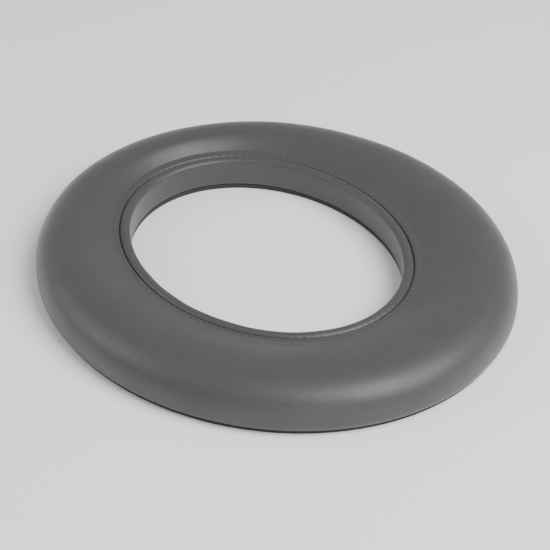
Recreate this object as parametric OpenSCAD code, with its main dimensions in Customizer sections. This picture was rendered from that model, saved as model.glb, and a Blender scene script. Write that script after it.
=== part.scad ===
// Face cradle cushion: an upholstered oval ring pad on a plywood base.
// Millimetres. +Z up, +Y along the ring's long axis towards the support that carries it.
// The origin is the centre of the underside.

/* [Outline] */
// Width of the ring across its short axis
ring_w = 300; // [290:5:320]
// Length of the ring along its long axis
ring_l = 330; // [328:2:350]
// Width of the face opening
hole_w = 164; // [150:2:170]
// Length of the face opening
hole_l = 204; // [190:2:206]
// How far the opening sits from the ring's centre, towards the support
hole_shift = 12; // [4:1:13]

/* [Section] */
// Height of the top at the opening's rim
rim_z = 22.5; // [22:0.5:26]
// Height of the top at the crown of the ring
crown_z = 31; // [28:0.5:38]
// Distance over which the top rounds down to the outer edge
edge_reach = 27; // [20:1:30]
// Height at which the outer side is widest
belly_z = 9.5; // [8:0.5:11]
// Distance that the outer side tucks in below its widest line
tuck = 2.5; // [1.5:0.5:4]
// Distance of the rim seam from the wall of the opening
seam_in = 7; // [6:0.5:9]

/* [Base] */
// Thickness of the plywood base
board_t = 9; // [9:1:12]
// Distance between the two pairs of tee nuts along the long axis
nut_pitch_l = 244; // [242:2:246]
// Distance between the two tee nuts of a pair
nut_pitch_w = 90; // [85:5:95]
// Thickness of the panel that closes the underside
panel_t = 3; // [2.5:0.5:4]
// Number of screws that hold the panel
screws = 8; // [4:4:8]

/* [Upholstery] */
// Thickness of the cover material
skin_t = 1; // [0.8:0.1:1.2]
// Thickness of the wadding under the top cover
wadding_t = 2; // [1:0.5:3]
// Width of the hems that are folded under the base
hem_w = 21; // [18:1:21]

/* [Hidden] */

vinyl = [0.12, 0.12, 0.125];
thread = [0.05, 0.05, 0.05];
zinc = [0.75, 0.76, 0.78];

steps = 48;
rise_steps = 4;
round_steps = 6;
tuck_steps = 3;
round_power = 0.87;
skin_gap = 0.02;
seam_gap = 0.3;
flap_drop = 6;
roll_h = 2.5;
rim_flat = 12;
rim_lift = 0.3;
groove_s = seam_in + 2.7;
groove_w = 1;
groove_deep = 0.4;
thread_r = 0.4;

hem_z = panel_t;
board_z = hem_z + skin_t;
board_top = board_z + board_t;
board_edge = 8;
foam_in = skin_t + 0.05;
foam_e = skin_t + wadding_t + skin_gap;
slot_in = seam_in - 2.1;
slot_out = seam_in + 2.1;
slot_z = rim_z - flap_drop - 1;

panel_edge_out = 3.5;
panel_edge_in = 1;
panel_sides = 144;
hem_staple_out = 17;
hem_staple_in = 15;
staple_w = 9;
staple_wire = 1.2;
staple_flat = 0.7;
staple_leg = 7;

nut_centre = 6;
nut_flange_r = 9.5;
nut_flange_t = 1.2;
nut_barrel_r = 3.9;
nut_bore_r = 2.5;
nut_mouth_z = board_z + 0.2;
nut_top = board_top - 0.4;
prongs = 4;
prong_t = 1;
prong_l = 5;
bolt_way_r = 3.3;

screw_r = 1.75;
screw_head_r = 3.5;
screw_head_h = 1.8;
screw_z = 0.2;
screw_l = 11;
screw_play = 0.05;
recess_w = 0.8;
recess_l = 3.8;
recess_deep = 1.1;

// Points of the outer outline and of the opening at the angle t
function outer(t) = [ring_w / 2 * cos(t), ring_l / 2 * sin(t)];
function inner(t) = [hole_w / 2 * cos(t), hole_shift + hole_l / 2 * sin(t)];
function across(t) = (outer(t) - inner(t)) / norm(outer(t) - inner(t));

// A section point [f, s, z] lies the share f of the way from the opening to the
// outer edge, then s further out, at the height z.
function place(t, p) =
    let (flat = inner(t) + p[0] * (outer(t) - inner(t)) + p[1] * across(t))
    [flat[0], flat[1], p[2]];

function flip(list) = [for (i = [len(list) - 1:-1:0]) list[i]];
function angle(i) = i * 360 / steps;

// The pad's surface from the stitched rim to its widest line, sunk by the depth e
function crown_line(e) = concat(
    [for (i = [0:rise_steps - 1])
        let (q = i / rise_steps)
        [q, (1 - q) * rim_flat - q * edge_reach,
         rim_z + rim_lift - e + (crown_z - rim_z - rim_lift) * sin(90 * q)]],
    [for (i = [0:round_steps])
        let (a = 90 * i / round_steps)
        [1, -e - (edge_reach - e) * (1 - pow(sin(a), round_power)),
         belly_z + (crown_z - e - belly_z) * pow(cos(a), round_power)]]
);

// The outer side below its widest line, sunk by the depth e
function tuck_line(e) = [for (i = [1:tuck_steps])
    let (b = 90 * i / tuck_steps)
    [1, -e - tuck * (1 - cos(b)), belly_z - (belly_z - hem_z - e) * sin(b)]];

// The rolled rim of the opening and its wall, sunk by the depth e
function rim_line(e) =
    let (half = (seam_in - seam_gap / 2) / 2)
    concat(
        [for (a = [0:30:180])
            [0, half + (half - e) * cos(a), rim_z - 2 + (roll_h - e) * sin(a)]],
        [for (a = [180:30:270])
            [0, 2.5 + (2.5 - e) * cos(a), hem_z + 2.5 + (2.5 - e) * sin(a)]]
    );

// A closed ring whose section is the list of section points
module ring(section) {
    m = len(section);
    points = [for (k = [0:steps - 1]) for (p = section) place(angle(k), p)];
    faces = [for (k = [0:steps - 1]) for (j = [0:m - 1])
        let (k2 = (k + 1) % steps, j2 = (j + 1) % m)
        [k * m + j, k * m + j2, k2 * m + j2, k2 * m + j]];
    polyhedron(points = points, faces = faces, convexity = 6);
}

// A thread laid along the ring, s away from the wall of the opening
module thread_ring(s, z) {
    ring([for (a = [0:60:300]) [0, s + thread_r * cos(a), z - thread_r * sin(a)]]);
}

// A flat ring between two edges, each given as [f, s], with the given number of sides
module flat_ring(edge_in, edge_out, z, t, sides) {
    translate([0, 0, z])
        linear_extrude(t)
            difference() {
                polygon([for (k = [0:sides - 1]) flat_point(k * 360 / sides, edge_out)]);
                polygon([for (k = [0:sides - 1]) flat_point(k * 360 / sides, edge_in)]);
            }
}

function flat_point(t, edge) =
    let (p = place(t, [edge[0], edge[1], 0]))
    [p[0], p[1]];

// One staple, its crown at the bottom and its legs up
module staple() {
    translate([-staple_w / 2, -staple_wire / 2, 0])
        cube([staple_w, staple_wire, staple_flat]);
    for (x = [-staple_w / 2, staple_w / 2 - staple_flat])
        translate([x, -staple_wire / 2, 0])
            cube([staple_flat, staple_wire, staple_leg]);
}

// A row of staples along the ring, turned to follow it
module staple_row(count, f, s, z) {
    for (i = [0:count - 1]) {
        t = (i + 0.5) * 360 / count;
        ahead = place(t + 1, [f, s, z]) - place(t - 1, [f, s, z]);
        translate(place(t, [f, s, z]))
            rotate([0, 0, atan2(ahead[1], ahead[0])])
                staple();
    }
}

// Puts its children at the panel's screws, which stand midway between the edges
module at_screws() {
    for (i = [0:screws - 1])
        translate(place(i * 360 / screws, [0.5, 0, 0]))
            children();
}

// The countersunk outline of a screw, grown by the play
module screw_shape(play) {
    cylinder(h = screw_head_h, r1 = screw_head_r + play, r2 = screw_r + play, $fn = 32);
    cylinder(h = screw_l + play, r = screw_r + play, $fn = 32);
}

// Puts its children at the four tee nuts
module at_nuts() {
    for (x = [-1, 1])
        for (y = [-1, 1])
            translate([x * nut_pitch_w / 2, nut_centre + y * nut_pitch_l / 2, 0])
                children();
}

module nut_prongs() {
    for (i = [0:prongs - 1])
        rotate([0, 0, 45 + i * 360 / prongs])
            translate([0, prong_t / 2, nut_top - nut_flange_t])
                rotate([90, 0, 0])
                    linear_extrude(prong_t)
                        polygon([[6.6, 0], [nut_flange_r - 0.3, 0], [8.8, -prong_l]]);
}

// The cover of the top, which wraps the outer side and hems under the base
module top_cover() {
    lip = seam_in + seam_gap / 2;
    color(vinyl)
        ring(concat(
            [[0, lip, rim_z - flap_drop],
             [0, lip, rim_z - 1.6],
             [0, lip + 0.5, rim_z - 0.4],
             [0, lip + 1.5, rim_z],
             [0, groove_s - groove_w / 2, rim_z],
             [0, groove_s - groove_w / 2, rim_z - groove_deep],
             [0, groove_s + groove_w / 2, rim_z - groove_deep],
             [0, groove_s + groove_w / 2, rim_z + 0.1]],
            crown_line(0),
            tuck_line(0),
            [[1, -hem_w - 2, hem_z], [1, -hem_w - 2, board_z - skin_gap]],
            flip(tuck_line(skin_t)),
            flip(crown_line(skin_t)),
            [[0, lip + skin_t, rim_z - skin_t],
             [0, lip + skin_t, rim_z - flap_drop]]
        ));
}

// The band that rolls over the rim, lines the opening and hems under the base
module opening_band() {
    lip = seam_in - seam_gap / 2;
    color(vinyl)
        ring(concat(
            [[0, hem_w, board_z - skin_gap], [0, hem_w, hem_z]],
            flip(rim_line(0)),
            [[0, lip, rim_z - flap_drop], [0, lip - skin_t, rim_z - flap_drop]],
            rim_line(skin_t)
        ));
}

// The thread of the visible stitching beside the rim seam
module topstitch_thread() {
    color(thread)
        thread_ring(groove_s, rim_z - groove_deep + thread_r + skin_gap);
}

// The two threads of the rim seam, one on each side of the joined flaps
module seam_thread() {
    color(thread)
        for (side = [-1, 1])
            thread_ring(seam_in + side * (seam_gap / 2 + skin_t + thread_r + skin_gap),
                        rim_z - flap_drop / 2 - 1);
}

// The soft layer between the foam and the top cover
module wadding() {
    e = skin_t + skin_gap;
    start = slot_out + 0.2;
    color("white")
        ring(concat(
            [[0, start, rim_z - skin_t - wadding_t], [0, start, rim_z - e]],
            crown_line(e),
            flip(crown_line(skin_t + wadding_t))
        ));
}

// The foam, with a lip down the base's outer edge and a slot for the seam flaps
module foam_pad() {
    color("khaki")
        ring(concat(
            [[0, foam_in, board_top],
             [0, foam_in, rim_z - 3.4],
             [0, 2, rim_z - 1.8],
             [0, slot_in, rim_z - 1.8],
             [0, slot_in, slot_z],
             [0, slot_out, slot_z],
             [0, slot_out, rim_z - foam_e - 0.2]],
            crown_line(foam_e),
            [[1, -foam_e - 1, board_z + 1.5],
             [1, -board_edge + skin_gap, board_z + 1.5],
             [1, -board_edge + skin_gap, board_top]]
        ));
}

// The plywood ring, bored and recessed for the tee nuts
module baseboard() {
    color("burlywood")
        difference() {
            flat_ring([0, foam_in], [1, -board_edge], board_z, board_t, steps);
            at_nuts() {
                translate([0, 0, board_z - 1])
                    cylinder(h = board_t + 2, r = nut_barrel_r + 0.05, $fn = 48);
                translate([0, 0, nut_top - nut_flange_t])
                    cylinder(h = nut_flange_t + 1, r = nut_flange_r + 0.05, $fn = 64);
                nut_prongs();
            }
            at_screws()
                translate([0, 0, screw_z])
                    screw_shape(screw_play);
        }
}

// Four M6 tee nuts, flanges up and mouths down
module tee_nuts() {
    color(zinc)
        at_nuts() {
            difference() {
                union() {
                    translate([0, 0, nut_mouth_z])
                        cylinder(h = nut_top - nut_mouth_z, r = nut_barrel_r, $fn = 48);
                    translate([0, 0, nut_top - nut_flange_t])
                        cylinder(h = nut_flange_t, r = nut_flange_r, $fn = 64);
                    nut_prongs();
                }
                translate([0, 0, nut_mouth_z - 1])
                    cylinder(h = board_t + 2, r = nut_bore_r, $fn = 48);
            }
        }
}

module outer_hem_staples() {
    color(zinc)
        staple_row(44, 1, -hem_staple_out, hem_z);
}

module inner_hem_staples() {
    color(zinc)
        staple_row(28, 0, hem_staple_in, hem_z);
}

// The black panel that closes the underside, bored for the bolts and countersunk for the screws
module base_panel() {
    color([0.03, 0.03, 0.03])
        difference() {
            flat_ring([0, panel_edge_in], [1, -panel_edge_out], 0, panel_t, panel_sides);
            at_nuts()
                translate([0, 0, -1])
                    cylinder(h = panel_t + 2, r = bolt_way_r, $fn = 48);
            at_screws() {
                translate([0, 0, screw_z])
                    screw_shape(screw_play);
                translate([0, 0, -1])
                    cylinder(h = 1 + screw_z, r = screw_head_r + screw_play, $fn = 32);
            }
        }
}

// Countersunk cross-recess screws that hold the panel to the base
module panel_screws() {
    color(zinc)
        at_screws()
            translate([0, 0, screw_z])
                difference() {
                    screw_shape(0);
                    for (turn = [0, 90])
                        rotate([0, 0, turn])
                            translate([-recess_l / 2, -recess_w / 2, -1])
                                cube([recess_l, recess_w, recess_deep + 1]);
                }
}

top_cover();
opening_band();
topstitch_thread();
seam_thread();
wadding();
foam_pad();
baseboard();
tee_nuts();
outer_hem_staples();
inner_hem_staples();
base_panel();
panel_screws();
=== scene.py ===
"""Looks of the face cradle cushion: vinyl cover, rolled rim, stitching, closing panel."""
import math
import bpy
import bmesh
import numpy as np
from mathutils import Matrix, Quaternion, Vector, noise


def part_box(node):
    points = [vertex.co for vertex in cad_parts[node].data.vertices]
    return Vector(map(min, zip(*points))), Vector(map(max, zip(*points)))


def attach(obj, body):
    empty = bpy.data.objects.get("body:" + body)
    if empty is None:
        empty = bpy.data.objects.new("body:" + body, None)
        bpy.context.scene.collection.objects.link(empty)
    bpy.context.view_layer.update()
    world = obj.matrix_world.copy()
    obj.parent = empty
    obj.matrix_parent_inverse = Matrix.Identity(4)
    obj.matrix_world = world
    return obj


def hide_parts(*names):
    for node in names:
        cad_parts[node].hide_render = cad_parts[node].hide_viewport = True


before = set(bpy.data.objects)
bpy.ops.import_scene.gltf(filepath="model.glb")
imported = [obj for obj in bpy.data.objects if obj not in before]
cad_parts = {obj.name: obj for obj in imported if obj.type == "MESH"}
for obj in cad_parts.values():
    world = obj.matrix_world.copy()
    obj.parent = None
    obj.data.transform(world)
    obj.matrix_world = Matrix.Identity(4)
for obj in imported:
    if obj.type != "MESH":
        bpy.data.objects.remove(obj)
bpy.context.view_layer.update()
MM = 0.001

# ---------------------------------------------------------------- sizes, from the CAD nodes
cover_lo, cover_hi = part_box("top_cover")
band_lo, band_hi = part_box("opening_band")
board_lo, board_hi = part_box("baseboard")
HEM = 21 * MM              # width of the hems under the base
SKIN = 1 * MM              # thickness of the vinyl
OUTER = np.array([cover_hi.x, cover_hi.y])
HOLE = np.array([band_hi.x, (band_hi.y - band_lo.y) / 2]) - HEM
SHIFT = (band_hi.y + band_lo.y) / 2
CROWN_Z = cover_hi.z
HEM_Z = cover_lo.z
RIM_Z = band_hi.z - 0.5 * MM
BELLY_Z = 9.5 * MM           # height of the widest line of the outer side
REACH = 27 * MM            # how far in the top starts to round down
TUCK = 2.5 * MM            # how far the side tucks in below the widest line
SEAM = 7 * MM              # the rim seam's distance from the opening's wall
GROOVE = 9.7 * MM          # the topstitch's distance from the opening's wall
RISE = 12 * MM             # where the top starts to rise to the crown
STITCH_PITCH = 5.2 * MM
TOP_POWER = 0.87           # roundness of the shoulder, 1 being a true quarter oval
FLAP = 6 * MM              # depth of the seam's flaps below the rim
LIP_ROUND = 2 * MM         # radius of the top cover's edge at the seam
ROLL = 2.5 * MM            # height of the band's roll, and radius of its fold at the base
HALF_GAP = 0.15 * MM       # half of the gap between the seam's flaps
LIFT = 0.3 * MM            # step up from the stitched flat to the crown
COVER_STEPS = 480          # points round the ring in the finished cover and band


# ---------------------------------------------------------------- the ring's own coordinates
def ovals(t):
    """Points of the opening and of the outline at the angles t, and the unit step between them."""
    inner = np.stack([HOLE[0] * np.cos(t), SHIFT + HOLE[1] * np.sin(t)], -1)
    outer = np.stack([OUTER[0] * np.cos(t), OUTER[1] * np.sin(t)], -1)
    span = outer - inner
    return inner, outer, span / np.linalg.norm(span, axis=-1, keepdims=True)


def angles(steps):
    return np.arange(steps) * 2 * math.pi / steps


def sweep(section, steps):
    """Carries the section points (share, step out, height) round the ring: an array (steps, points, 3)."""
    inner, outer, across = ovals(angles(steps))
    rows = np.array(section)
    flat = (inner[:, None] + rows[None, :, 0:1] * (outer - inner)[:, None]
            + rows[None, :, 1:2] * across[:, None])
    height = np.broadcast_to(rows[None, :, 2:3], (steps, len(rows), 1))
    return np.concatenate([flat, height], -1)


def length_round(s, steps):
    """Share of the way round, by length, of each step along the line s out from the opening."""
    points = sweep([(0, s, 0)], steps)[:, 0]
    gaps = np.linalg.norm(np.roll(points, -1, 0) - points, axis=1)
    return np.concatenate([[0], np.cumsum(gaps)[:-1]]) / gaps.sum(), gaps.sum()


def smooth(x):
    x = np.clip(x, 0, 1)
    return x * x * (3 - 2 * x)


def resample(section, spacing, fine=None):
    """Adds points to a section so that no stretch is longer than spacing. The argument fine is not used."""
    out = []
    width = np.linalg.norm(OUTER - HOLE) / math.sqrt(2)
    for a, b in zip(section[:-1], section[1:]):
        a, b = np.array(a), np.array(b)
        run = math.hypot((b[0] - a[0]) * width + b[1] - a[1], b[2] - a[2])
        count = max(1, math.ceil(run / spacing))
        out += [tuple(a + (b - a) * k / count) for k in range(count)]
    return out + [tuple(section[-1])]


# ---------------------------------------------------------------- mesh helpers
def grid_mesh(name, points, closed_section=False):
    """A mesh of quads from an array (steps, points, 3) that closes round the ring."""
    steps, count = points.shape[:2]
    faces = []
    for k in range(steps):
        for j in range(count if closed_section else count - 1):
            j2, k2 = (j + 1) % count, (k + 1) % steps
            faces.append((k * count + j, k2 * count + j, k2 * count + j2, k * count + j2))
    mesh = bpy.data.meshes.new(name)
    mesh.from_pydata(points.reshape(-1, 3).tolist(), [], faces)
    mesh.update()
    mesh.polygons.foreach_set("use_smooth", [True] * len(mesh.polygons))
    piece = bpy.data.objects.new(name, mesh)
    bpy.context.scene.collection.objects.link(piece)
    return piece


def grid_normals(points):
    """Unit normals of such a grid, pointing out of the pad when the section runs outward over the top."""
    along = np.roll(points, -1, 0) - np.roll(points, 1, 0)
    over = np.gradient(points, axis=1)
    normal = np.cross(over, along)
    return normal / np.maximum(np.linalg.norm(normal, axis=-1, keepdims=True), 1e-12)


def shell(points, thickness):
    """Closes a sheet into a shell: the sheet, then its underside run back."""
    under = points - thickness * grid_normals(points)
    return np.concatenate([points, under[:, ::-1]], axis=1)


def unevenness(points, scale, seed):
    """Smooth noise, -1 to 1, at each point of a grid."""
    flat = points.reshape(-1, 3)
    offset = Vector((seed * 3.1, seed * 1.7, seed * 2.3))
    values = [noise.noise(Vector(p) / scale + offset) for p in flat]
    return np.array(values).reshape(points.shape[:2])


# ---------------------------------------------------------------- materials
def new_material(name):
    material = bpy.data.materials.new(name)
    material.use_nodes = True
    nodes, links = material.node_tree.nodes, material.node_tree.links
    return material, nodes, links, nodes["Principled BSDF"]


def node(nodes, kind, **sockets):
    made = nodes.new(kind)
    for key, value in sockets.items():
        if hasattr(made, key):
            setattr(made, key, value)
        else:
            made.inputs[key.replace("_", " ")].default_value = value
    return made


def object_noise(nodes, links, scale, detail=2.0, roughness=0.5):
    where = node(nodes, "ShaderNodeTexCoord")
    made = node(nodes, "ShaderNodeTexNoise", Scale=scale, Detail=detail, Roughness=roughness)
    links.new(where.outputs["Object"], made.inputs["Vector"])
    return made


def colour_ramp(nodes, links, source, stops):
    ramp = node(nodes, "ShaderNodeValToRGB")
    ramp.color_ramp.elements[0].position = stops[0][0]
    ramp.color_ramp.elements[0].color = (*stops[0][1], 1)
    ramp.color_ramp.elements[1].position = stops[-1][0]
    ramp.color_ramp.elements[1].color = (*stops[-1][1], 1)
    for position, colour in stops[1:-1]:
        ramp.color_ramp.elements.new(position).color = (*colour, 1)
    links.new(source, ramp.inputs["Fac"])
    return ramp


def value_range(nodes, links, source, low, high, source_low=0.3, source_high=0.7):
    made = node(nodes, "ShaderNodeMapRange")
    made.inputs["From Min"].default_value = source_low
    made.inputs["From Max"].default_value = source_high
    made.inputs["To Min"].default_value = low
    made.inputs["To Max"].default_value = high
    links.new(source, made.inputs["Value"])
    return made


def vinyl_material(name, base):
    """Faux leather: fine pebbles and creases in the bump, painted shade darkening the creases, uneven satin
    gloss and colour.
    """
    material, nodes, links, skin = new_material(name)
    where = node(nodes, "ShaderNodeTexCoord")
    warp = object_noise(nodes, links, 260, 2)
    mixed = node(nodes, "ShaderNodeVectorMath", operation="MULTIPLY_ADD")
    links.new(warp.outputs["Color"], mixed.inputs[0])
    mixed.inputs[1].default_value = (0.0009, 0.0009, 0.0009)
    links.new(where.outputs["Object"], mixed.inputs[2])
    pebble = node(nodes, "ShaderNodeTexVoronoi", feature="DISTANCE_TO_EDGE", Scale=950)
    links.new(mixed.outputs["Vector"], pebble.inputs["Vector"])
    pebble_height = value_range(nodes, links, pebble.outputs["Distance"], 0, 1, 0, 0.28)
    fine = object_noise(nodes, links, 2600, 2, 0.6)
    cloudy = object_noise(nodes, links, 34, 3, 0.55)
    patch = object_noise(nodes, links, 240, 2, 0.5)
    bump_wide = node(nodes, "ShaderNodeBump", Strength=0.25, Distance=0.00035)
    links.new(patch.outputs["Fac"], bump_wide.inputs["Height"])
    bump_fine = node(nodes, "ShaderNodeBump", Strength=0.2, Distance=0.00006)
    links.new(fine.outputs["Fac"], bump_fine.inputs["Height"])
    links.new(bump_wide.outputs["Normal"], bump_fine.inputs["Normal"])
    bump = node(nodes, "ShaderNodeBump", Strength=0.42, Distance=0.00009)
    links.new(pebble_height.outputs["Result"], bump.inputs["Height"])
    links.new(bump_fine.outputs["Normal"], bump.inputs["Normal"])
    links.new(bump.outputs["Normal"], skin.inputs["Normal"])
    dark = tuple(0.95 * c for c in base)
    light = tuple(1.05 * c for c in base)
    tone = colour_ramp(nodes, links, cloudy.outputs["Fac"], [(0.3, dark), (0.7, light)])
    # painted shade: the colour darkens towards the pebbles' edges, where the bump sinks into creases
    painted_crease_shade = value_range(nodes, links, pebble.outputs["Distance"], 0.78, 1.0, 0, 0.12)
    shade = node(nodes, "ShaderNodeVectorMath", operation="SCALE")
    links.new(tone.outputs["Color"], shade.inputs[0])
    links.new(painted_crease_shade.outputs["Result"], shade.inputs["Scale"])
    links.new(shade.outputs["Vector"], skin.inputs["Base Color"])
    gloss = value_range(nodes, links, cloudy.outputs["Fac"], 0.47, 0.38)
    links.new(gloss.outputs["Result"], skin.inputs["Roughness"])
    skin.inputs["Specular IOR Level"].default_value = 0.5
    skin.inputs["Sheen Weight"].default_value = 0.12
    skin.inputs["Sheen Roughness"].default_value = 0.4
    return material


def thread_material():
    """Twisted polyester thread: fine slanting ply lines, with painted shade darkening the grooves between
    plies.
    """
    material, nodes, links, skin = new_material("thread")
    where = node(nodes, "ShaderNodeTexCoord")
    ply = node(nodes, "ShaderNodeTexWave", wave_type="BANDS", bands_direction="DIAGONAL",
               Scale=900, Distortion=1.0, Detail=1.0)
    links.new(where.outputs["Object"], ply.inputs["Vector"])
    bump = node(nodes, "ShaderNodeBump", Strength=0.5, Distance=0.0001)
    links.new(ply.outputs["Fac"], bump.inputs["Height"])
    links.new(bump.outputs["Normal"], skin.inputs["Normal"])
    # painted shade: the colour follows the ply bump, darker in the grooves
    tone = colour_ramp(nodes, links, ply.outputs["Fac"],
                       [(0.2, (0.040, 0.039, 0.041)), (0.8, (0.060, 0.058, 0.061))])
    links.new(tone.outputs["Color"], skin.inputs["Base Color"])
    skin.inputs["Roughness"].default_value = 0.5
    skin.inputs["Sheen Weight"].default_value = 0.2
    return material


def panel_material():
    """Black moulded panel: fine grained face, faint rubbed marks and uneven gloss."""
    material, nodes, links, skin = new_material("panel")
    grain = object_noise(nodes, links, 1800, 3, 0.6)
    rubbed = object_noise(nodes, links, 28, 4, 0.6)
    tone = colour_ramp(nodes, links, rubbed.outputs["Fac"],
                       [(0.3, (0.018, 0.018, 0.019)), (0.75, (0.028, 0.028, 0.029))])
    links.new(tone.outputs["Color"], skin.inputs["Base Color"])
    gloss = value_range(nodes, links, rubbed.outputs["Fac"], 0.58, 0.74)
    links.new(gloss.outputs["Result"], skin.inputs["Roughness"])
    bump = node(nodes, "ShaderNodeBump", Strength=0.4, Distance=0.00008)
    links.new(grain.outputs["Fac"], bump.inputs["Height"])
    links.new(bump.outputs["Normal"], skin.inputs["Normal"])
    return material


def plywood_material(low, high):
    """Birch plywood: grain along Y on the faces, plies as bands in the height on the edges."""
    material, nodes, links, skin = new_material("plywood")
    where = node(nodes, "ShaderNodeTexCoord")
    stretch = node(nodes, "ShaderNodeMapping")
    stretch.inputs["Scale"].default_value = (120, 9, 120)
    links.new(where.outputs["Object"], stretch.inputs["Vector"])
    grain = node(nodes, "ShaderNodeTexNoise", Scale=1.0, Detail=6.0, Roughness=0.6)
    links.new(stretch.outputs["Vector"], grain.inputs["Vector"])
    split = node(nodes, "ShaderNodeSeparateXYZ")
    links.new(where.outputs["Object"], split.inputs["Vector"])
    ply = node(nodes, "ShaderNodeMath", operation="SINE")
    turn = value_range(nodes, links, split.outputs["Z"], 0, 5 * math.pi, low, high)
    turn.clamp = False
    links.new(turn.outputs["Result"], ply.inputs[0])
    layer = value_range(nodes, links, ply.outputs["Value"], 0.72, 1.0, -0.25, 0.25)
    tone = colour_ramp(nodes, links, grain.outputs["Fac"],
                       [(0.25, (0.42, 0.27, 0.14)), (0.55, (0.62, 0.44, 0.26)),
                        (0.8, (0.72, 0.55, 0.35))])
    shade = node(nodes, "ShaderNodeVectorMath", operation="SCALE")
    links.new(tone.outputs["Color"], shade.inputs[0])
    links.new(layer.outputs["Result"], shade.inputs["Scale"])
    links.new(shade.outputs["Vector"], skin.inputs["Base Color"])
    bump = node(nodes, "ShaderNodeBump", Strength=0.3, Distance=0.0002)
    links.new(grain.outputs["Fac"], bump.inputs["Height"])
    links.new(bump.outputs["Normal"], skin.inputs["Normal"])
    skin.inputs["Roughness"].default_value = 0.62
    return material


def zinc_material(name, scale):
    """Bright zinc plating: faint spangle, fine scratches and uneven gloss."""
    material, nodes, links, skin = new_material(name)
    where = node(nodes, "ShaderNodeTexCoord")
    spangle = node(nodes, "ShaderNodeTexVoronoi", feature="F1", Scale=scale)
    links.new(where.outputs["Object"], spangle.inputs["Vector"])
    scratch = object_noise(nodes, links, scale * 3, 4, 0.65)
    tone = colour_ramp(nodes, links, spangle.outputs["Distance"],
                       [(0.0, (0.62, 0.63, 0.66)), (0.7, (0.78, 0.79, 0.81))])
    links.new(tone.outputs["Color"], skin.inputs["Base Color"])
    gloss = value_range(nodes, links, scratch.outputs["Fac"], 0.24, 0.42)
    links.new(gloss.outputs["Result"], skin.inputs["Roughness"])
    bump = node(nodes, "ShaderNodeBump", Strength=0.25, Distance=0.00005)
    links.new(scratch.outputs["Fac"], bump.inputs["Height"])
    links.new(bump.outputs["Normal"], skin.inputs["Normal"])
    skin.inputs["Metallic"].default_value = 1.0
    return material


def foam_material():
    """Open-cell foam: small round cells and a soft yellow that varies."""
    material, nodes, links, skin = new_material("foam")
    where = node(nodes, "ShaderNodeTexCoord")
    cells = node(nodes, "ShaderNodeTexVoronoi", feature="F1", Scale=900)
    links.new(where.outputs["Object"], cells.inputs["Vector"])
    cloudy = object_noise(nodes, links, 60, 3)
    tone = colour_ramp(nodes, links, cloudy.outputs["Fac"],
                       [(0.3, (0.74, 0.66, 0.42)), (0.7, (0.85, 0.79, 0.56))])
    links.new(tone.outputs["Color"], skin.inputs["Base Color"])
    bump = node(nodes, "ShaderNodeBump", Strength=0.8, Distance=0.0004)
    links.new(cells.outputs["Distance"], bump.inputs["Height"])
    links.new(bump.outputs["Normal"], skin.inputs["Normal"])
    skin.inputs["Roughness"].default_value = 0.95
    return material


def wadding_material():
    """Polyester wadding: loose white fibres, with painted shade greying the hollows between them."""
    material, nodes, links, skin = new_material("wadding")
    fibre = object_noise(nodes, links, 700, 6, 0.75)
    # painted shade: the colour follows the fibre bump, greyer in the hollows
    tone = colour_ramp(nodes, links, fibre.outputs["Fac"],
                       [(0.3, (0.72, 0.72, 0.7)), (0.7, (0.93, 0.93, 0.92))])
    links.new(tone.outputs["Color"], skin.inputs["Base Color"])
    bump = node(nodes, "ShaderNodeBump", Strength=1.0, Distance=0.0006)
    links.new(fibre.outputs["Fac"], bump.inputs["Height"])
    links.new(bump.outputs["Normal"], skin.inputs["Normal"])
    skin.inputs["Roughness"].default_value = 1.0
    skin.inputs["Sheen Weight"].default_value = 0.3
    return material


# ---------------------------------------------------------------- sections
def crown_line(depth, rise=10, rounding=14):
    """The top from its rise beside the stitching to the widest line, sunk by depth."""
    line = []
    for k in range(rise):
        q = k / rise
        lift = (CROWN_Z - RIM_Z - LIFT) * math.sin(q * math.pi / 2)
        line.append((q, (1 - q) * RISE - q * REACH, RIM_Z + LIFT - depth + lift))
    for k in range(rounding + 1):
        a = k / rounding * math.pi / 2
        step = (REACH - depth) * (1 - math.sin(a) ** TOP_POWER)
        drop = (CROWN_Z - depth - BELLY_Z) * max(math.cos(a), 0) ** TOP_POWER
        line.append((1, -depth - step, BELLY_Z + drop))
    return line


def tuck_line(depth, count=8):
    """The outer side below its widest line, down to the fold under the base."""
    line = []
    for k in range(1, count + 1):
        b = k / count * math.pi / 2
        line.append((1, -depth - TUCK * (1 - math.cos(b)),
                     BELLY_Z - (BELLY_Z - HEM_Z - depth) * math.sin(b)))
    return line


def cover_section():
    """The top cover's outer face: up the seam flap, over the lip and the crown, down to the hem's end."""
    lip = SEAM + HALF_GAP
    flap = [(0, lip, RIM_Z - FLAP), (0, lip, RIM_Z - 3 * MM)]
    for k in range(7):
        a = k / 6 * math.pi / 2
        flap.append((0, lip + LIP_ROUND * (1 - math.cos(a)), RIM_Z - LIP_ROUND * (1 - math.sin(a))))
    flat = [(0, s * MM, RIM_Z + LIFT * smooth((s - 9) / 3)) for s in (9.2, 9.7, 10.2, 10.9, 11.5)]
    hem = [(1, -HEM - 2 * MM, HEM_Z)]
    return resample(flap + flat + crown_line(0) + tuck_line(0) + hem, 2.4 * MM)


def band_section():
    """The band's outer face, from its hem's end up the wall and over the rim, down the seam flap."""
    half = (SEAM - HALF_GAP) / 2
    fold = ROLL
    line = [(0, HEM, HEM_Z)]
    for k in range(9):
        a = math.pi * 1.5 - k / 8 * math.pi / 2
        line.append((0, fold + fold * math.cos(a), HEM_Z + fold + fold * math.sin(a)))
    for k in range(15):
        a = math.pi - k / 14 * math.pi
        line.append((0, half + half * math.cos(a), RIM_Z - 2 * MM + ROLL * math.sin(a)))
    line += [(0, 2 * half, RIM_Z - FLAP)]
    return resample(line, 1.3 * MM)


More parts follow.
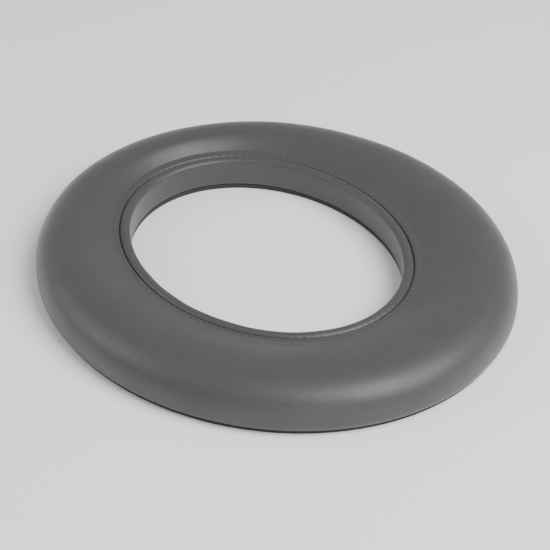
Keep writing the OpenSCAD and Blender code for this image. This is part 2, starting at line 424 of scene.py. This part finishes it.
# ---------------------------------------------------------------- cushion simulation
SWELL_PRESSURE = 35.0      # at 100 the cloth breaks up
SWELL_FRAMES = 20
SWELL_CAP = 3 * MM
SWELL_STEPS = 168
CLOTH_MASS = 0.4
STRETCH_STIFFNESS = 40
SHEAR_STIFFNESS = 20
BENDING_STIFFNESS = 4


def swell(section, steps, pinned):
    """Runs the covered pad as cloth under pressure, and returns how far each point of a coarse grid moves."""
    start = sweep(section, steps)
    body = np.concatenate([start, sweep([(0, RISE, HEM_Z), (0, SEAM, HEM_Z)], steps)], axis=1)
    piece = grid_mesh("swell_body", body, closed_section=True)
    fix_normals(piece)
    count = body.shape[1]
    group = piece.vertex_groups.new(name="pinned")
    for k in range(steps):
        for j in range(count):
            weight = pinned[j] if j < len(pinned) else 1.0
            if weight > 0:
                group.add([k * count + j], weight, "REPLACE")
    cloth = piece.modifiers.new("Cloth", "CLOTH")
    cloth.settings.vertex_group_mass = "pinned"
    cloth.settings.use_pressure = True
    cloth.settings.uniform_pressure_force = SWELL_PRESSURE
    cloth.settings.effector_weights.gravity = 0
    cloth.settings.quality = 5
    cloth.settings.mass = CLOTH_MASS
    cloth.settings.tension_stiffness = STRETCH_STIFFNESS
    cloth.settings.compression_stiffness = STRETCH_STIFFNESS
    cloth.settings.shear_stiffness = SHEAR_STIFFNESS
    cloth.settings.bending_stiffness = BENDING_STIFFNESS
    cloth.collision_settings.use_collision = False
    scene = bpy.context.scene
    for step in range(1, SWELL_FRAMES + 1):
        scene.frame_set(step)
    graph = bpy.context.evaluated_depsgraph_get()
    result = piece.evaluated_get(graph).data
    moved = np.zeros(len(result.vertices) * 3)
    result.vertices.foreach_get("co", moved)
    moved = moved.reshape(steps, count, 3)[:, :start.shape[1]] - start
    scene.frame_set(1)
    mesh = piece.data
    bpy.data.objects.remove(piece)
    bpy.data.meshes.remove(mesh)
    far = np.linalg.norm(moved, axis=-1, keepdims=True)
    return moved * np.minimum(1, SWELL_CAP / np.maximum(far, 1e-9))


def spread(field, steps, places_from, places_to):
    """Interpolates a coarse grid of moves (steps, points, 3) to a finer one."""
    coarse = field.shape[0]
    u = np.arange(steps) / steps * coarse
    k = np.floor(u).astype(int)
    w = smooth(u - k)[:, None, None]
    rows = field[k % coarse] * (1 - w) + field[(k + 1) % coarse] * w
    out = np.empty((steps, len(places_to), 3))
    for axis in range(3):
        for row in range(steps):
            out[row, :, axis] = np.interp(places_to, places_from, rows[row, :, axis])
    return out


def run_length(section):
    """Distance along a section from its start to each of its points."""
    width = np.linalg.norm(OUTER - HOLE) / math.sqrt(2)
    rows = np.array(section)
    flat = rows[:, 0] * width + rows[:, 1]
    return np.concatenate([[0], np.cumsum(np.hypot(np.diff(flat), np.diff(rows[:, 2])))])


# ---------------------------------------------------------------- pieces
def top_cover(material):
    section = cover_section()
    places = run_length(section)
    rows = np.array(section)
    points = sweep(section, COVER_STEPS)
    from_wall = np.where(rows[:, 0] == 0, rows[:, 1], 1.0)
    coarse = resample(crown_line(1.2 * MM, 8, 9) + tuck_line(0.3 * MM, 4), 6 * MM)
    coarse_places = run_length(coarse) + places[np.searchsorted(from_wall[:40] >= RISE, True)]
    free = smooth((run_length(coarse) - 4 * MM) / (10 * MM))
    heights = np.array(coarse)[:, 2]
    low = smooth((heights - 4 * MM) / (6 * MM))
    moves = swell(coarse, SWELL_STEPS, 1 - free * low)
    fine = spread(moves, COVER_STEPS, coarse_places, places)
    keep = smooth((places - coarse_places[0]) / (6 * MM))[None, :, None]
    points += fine * keep
    normals = grid_normals(points)
    share, total = length_round(GROOVE, COVER_STEPS)
    stitches = round(total / STITCH_PITCH)
    phase = np.cos(2 * math.pi * share * stitches)[:, None]
    seam_side = np.exp(-((from_wall - GROOVE) / (0.8 * MM)) ** 2)[None]
    pull = 0.22 * MM * seam_side * (0.62 - 0.38 * phase)
    ripple_reach = np.exp(-np.clip(from_wall - GROOVE, 0, 1) / (5 * MM))[None]
    past = (from_wall > GROOVE - 0.1 * MM)[None]
    drift = unevenness(points, 14 * MM, 2)
    beat = np.cos(2 * math.pi * share * stitches / 2 + 2)[:, None]
    ripple = 0.09 * MM * ripple_reach * past * (beat * drift + 0.5 * drift)
    lip = 0.12 * MM * np.exp(-((from_wall - 8 * MM) / (1.1 * MM)) ** 2)[None] * phase
    outside = smooth((places - 14 * MM) / (12 * MM))[None]
    wave = 0.28 * MM * outside * unevenness(points, 46 * MM, 5)
    hem_part = (rows[:, 2] <= HEM_Z + 0.6 * MM)[None] & (rows[:, 0] == 1)[None]
    wave = np.where(hem_part, 0, wave)
    points = points + normals * (wave + ripple + lip - pull)[..., None]
    points[..., 2] = np.where(hem_part, np.maximum(points[..., 2], HEM_Z), points[..., 2])
    piece = grid_mesh("top_cover_vinyl", shell(points, SKIN), closed_section=True)
    piece.data.materials.append(material)
    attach(piece, "root")
    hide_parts("top_cover")


def opening_band(material):
    section = band_section()
    rows = np.array(section)
    steps = COVER_STEPS
    points = sweep(section, steps)
    normals = -grid_normals(points)
    share, total = length_round(SEAM, steps)
    stitches = round(total / STITCH_PITCH)
    phase = np.cos(2 * math.pi * share * stitches)[:, None]
    near_seam = np.exp(-((rows[:, 1] - SEAM) / (2.2 * MM)) ** 2)[None] * (rows[:, 2] > RIM_Z - 3 * MM)[None]
    roll = (rows[:, 2] > RIM_Z - 2.5 * MM)[None]
    wave = 0.10 * MM * near_seam * phase + 0.15 * MM * roll * unevenness(points, 16 * MM, 3)
    wall = smooth((rows[:, 2] - HEM_Z - 2 * MM) / (4 * MM))[None] * (rows[:, 1] < 3 * MM)[None]
    wave = wave + 0.22 * MM * wall * unevenness(points * np.array([1, 1, 0.35]), 20 * MM, 8)
    points = points + normals * wave[..., None]
    sheet = points[:, ::-1]
    piece = grid_mesh("opening_band_vinyl", shell(sheet, -SKIN)[:, ::-1], closed_section=True)
    piece.data.materials.append(material)
    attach(piece, "root")
    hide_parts("opening_band")


def topstitch(material):
    """Single stitches in the seam's groove, each a short thread that dives at both ends."""
    fine = 4096
    share, total = length_round(GROOVE, fine)
    stitches = round(total / STITCH_PITCH)
    groove = sweep([(0, GROOVE, RIM_Z)], fine)[:, 0]
    whole_way = np.append(share, 1)
    lines = [np.append(groove[:, axis], groove[0, axis]) for axis in (0, 1)]
    rings, sides, radius = 9, 8, 0.36 * MM
    vertices, faces = [], []
    for n in range(stitches):
        start = len(vertices)
        for k in range(rings):
            q = k / (rings - 1)
            along = (n + 0.5 + 0.06 + 0.88 * q) / stitches % 1.0
            at = [np.interp(along, whole_way, line) for line in lines]
            ahead = (along + 0.0005) % 1.0
            to = [np.interp(ahead, whole_way, line) for line in lines]
            way = Vector((to[0] - at[0], to[1] - at[1], 0)).normalized()
            side = Vector((-way.y, way.x, 0))
            dive = abs(2 * q - 1) ** 4
            height = RIM_Z + 0.06 * MM - 0.75 * MM * dive
            lean = 0.10 * MM * math.sin(q * math.pi)
            centre = Vector((at[0], at[1], height)) + side * lean
            girth = radius * (1 - 0.22 * dive)
            for s in range(sides):
                a = 2 * math.pi * s / sides
                vertices.append(centre + side * girth * math.cos(a) + Vector((0, 0, girth * math.sin(a))))
        for k in range(rings - 1):
            for s in range(sides):
                s2 = (s + 1) % sides
                a, b = start + k * sides, start + (k + 1) * sides
                faces.append((a + s, b + s, b + s2, a + s2))
        faces.append(tuple(start + s for s in range(sides)))
        faces.append(tuple(start + (rings - 1) * sides + s for s in reversed(range(sides))))
    mesh = bpy.data.meshes.new("topstitch")
    mesh.from_pydata([tuple(v) for v in vertices], [], faces)
    mesh.polygons.foreach_set("use_smooth", [True] * len(mesh.polygons))
    piece = bpy.data.objects.new("topstitch", mesh)
    bpy.context.scene.collection.objects.link(piece)
    fix_normals(piece)
    piece.data.materials.append(material)
    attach(piece, "root")
    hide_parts("topstitch_thread")


def fix_normals(piece):
    work = bmesh.new()
    work.from_mesh(piece.data)
    bmesh.ops.recalc_face_normals(work, faces=work.faces)
    work.to_mesh(piece.data)
    work.free()


def hidden_layers(foam, wadding):
    """The foam and the wadding inside the cover, as closed rings with slightly uneven cut faces."""
    inner = 1.05 * MM
    foam_line = [(0, inner, board_hi.z), (0, inner, RIM_Z - 3.4 * MM), (0, 2 * MM, RIM_Z - 1.9 * MM),
                 (0, SEAM - 2.1 * MM, RIM_Z - 1.9 * MM), (0, SEAM - 2.1 * MM, RIM_Z - 7 * MM),
                 (0, SEAM + 2.1 * MM, RIM_Z - 7 * MM), (0, SEAM + 2.1 * MM, RIM_Z - 3.4 * MM)]
    foam_line += crown_line(3.4 * MM, 6, 10)
    foam_line += [(1, -4.4 * MM, board_lo.z + 1.5 * MM), (1, -8 * MM, board_lo.z + 1.5 * MM),
                  (1, -8 * MM, board_hi.z)]
    points = sweep(resample(foam_line, 5 * MM), 200)
    foam_piece = grid_mesh("foam_ring", points, closed_section=True)
    upper = [(0, SEAM + 2.4 * MM, RIM_Z - 1.5 * MM)] + crown_line(1.5 * MM, 6, 10)
    lower = [(0, SEAM + 2.4 * MM, RIM_Z - 3.1 * MM)] + crown_line(3.1 * MM, 6, 10)
    wadding_piece = grid_mesh("wadding_ring", sweep(upper + lower[::-1], 200), closed_section=True)
    for piece, material, name in ((foam_piece, foam, "foam"), (wadding_piece, wadding, "wadding")):
        fix_normals(piece)
        piece.data.materials.append(material)
        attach(piece, "root")
    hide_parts("foam_pad")
    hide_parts("wadding")


def dress_cad(name, material):
    """Gives a CAD node that stays its finished material."""
    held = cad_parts[name]
    if held.material_slots:
        for place in held.material_slots:
            place.material = material
    else:
        held.data.materials.append(material)


# ---------------------------------------------------------------- floor, light and camera
VIEW_AZIMUTH = -32.8       # degrees
VIEW_HEIGHT = 35.1         # degrees above the floor
VIEW_ROLL = 1.0            # degrees
DISTANCE = 1.40
AIM = Vector((0, 0, 0.003))
LENS = 142
FLOOR_HALF = 6


def towards_viewer():
    a, e = math.radians(VIEW_AZIMUTH), math.radians(VIEW_HEIGHT)
    return Vector((math.sin(a) * math.cos(e), -math.cos(a) * math.cos(e), math.sin(e)))


def camera():
    data = bpy.data.cameras.new("camera")
    data.lens = LENS
    data.sensor_width = 36
    made = bpy.data.objects.new("camera", data)
    bpy.context.scene.collection.objects.link(made)
    made.location = AIM + DISTANCE * towards_viewer()
    made.rotation_mode = "QUATERNION"
    facing = (-towards_viewer()).to_track_quat("-Z", "Y")
    made.rotation_quaternion = facing @ Quaternion((0, 0, 1), math.radians(VIEW_ROLL))
    data.clip_start, data.clip_end = 0.05, 50
    bpy.context.scene.camera = made


def area_light(name, side, back, height, size, power, aim=(0, 0, 0)):
    """A soft light placed by its distance to the view's right, away from the viewer, and up."""
    a = math.radians(VIEW_AZIMUTH)
    right = Vector((math.cos(a), math.sin(a), 0))
    away = Vector((-math.sin(a), math.cos(a), 0))
    data = bpy.data.lights.new(name, "AREA")
    data.shape = "DISK"
    data.size = size
    data.energy = power
    made = bpy.data.objects.new(name, data)
    bpy.context.scene.collection.objects.link(made)
    made.location = right * side + away * back + Vector((0, 0, height))
    made.rotation_mode = "QUATERNION"
    made.rotation_quaternion = (Vector(aim) - made.location).to_track_quat("-Z", "Y")


def studio():
    world = bpy.data.worlds.new("studio")
    bpy.context.scene.world = world
    world.use_nodes = True
    world.node_tree.nodes["Background"].inputs["Color"].default_value = (1, 1, 1, 1)
    world.node_tree.nodes["Background"].inputs["Strength"].default_value = 0.5
    area_light("key", 0.95, -0.6, 1.35, 1.4, 44)
    area_light("left_fill", -1.3, 0.1, 0.8, 1.0, 6)
    area_light("front_fill", 0.2, -1.6, 0.3, 0.5, 2)
    mesh = bpy.data.meshes.new("floor")
    corners = [(x * FLOOR_HALF, y * FLOOR_HALF, 0) for x, y in ((-1, -1), (1, -1), (1, 1), (-1, 1))]
    mesh.from_pydata(corners, [], [(0, 1, 2, 3)])
    floor = bpy.data.objects.new("floor", mesh)
    bpy.context.scene.collection.objects.link(floor)
    material, nodes, links, skin = new_material("pale_floor")
    skin.inputs["Base Color"].default_value = (0.95, 0.95, 0.95, 1)
    skin.inputs["Roughness"].default_value = 0.8
    mesh.materials.append(material)


# ---------------------------------------------------------------- build
VINYL = (0.058, 0.0573, 0.0602)
camera()
studio()
vinyl = vinyl_material("vinyl", VINYL)
thread = thread_material()
top_cover(vinyl)
opening_band(vinyl)
topstitch(thread)
hidden_layers(foam_material(), wadding_material())
dress_cad("seam_thread", thread)
dress_cad("baseboard", plywood_material(board_lo.z, board_hi.z))
dress_cad("tee_nuts", zinc_material("tee_nut_zinc", 500))
staple_zinc = zinc_material("staple_zinc", 1200)
for row in ("outer_hem_staples", "inner_hem_staples", "panel_screws"):
    dress_cad(row, staple_zinc)
dress_cad("base_panel", panel_material())
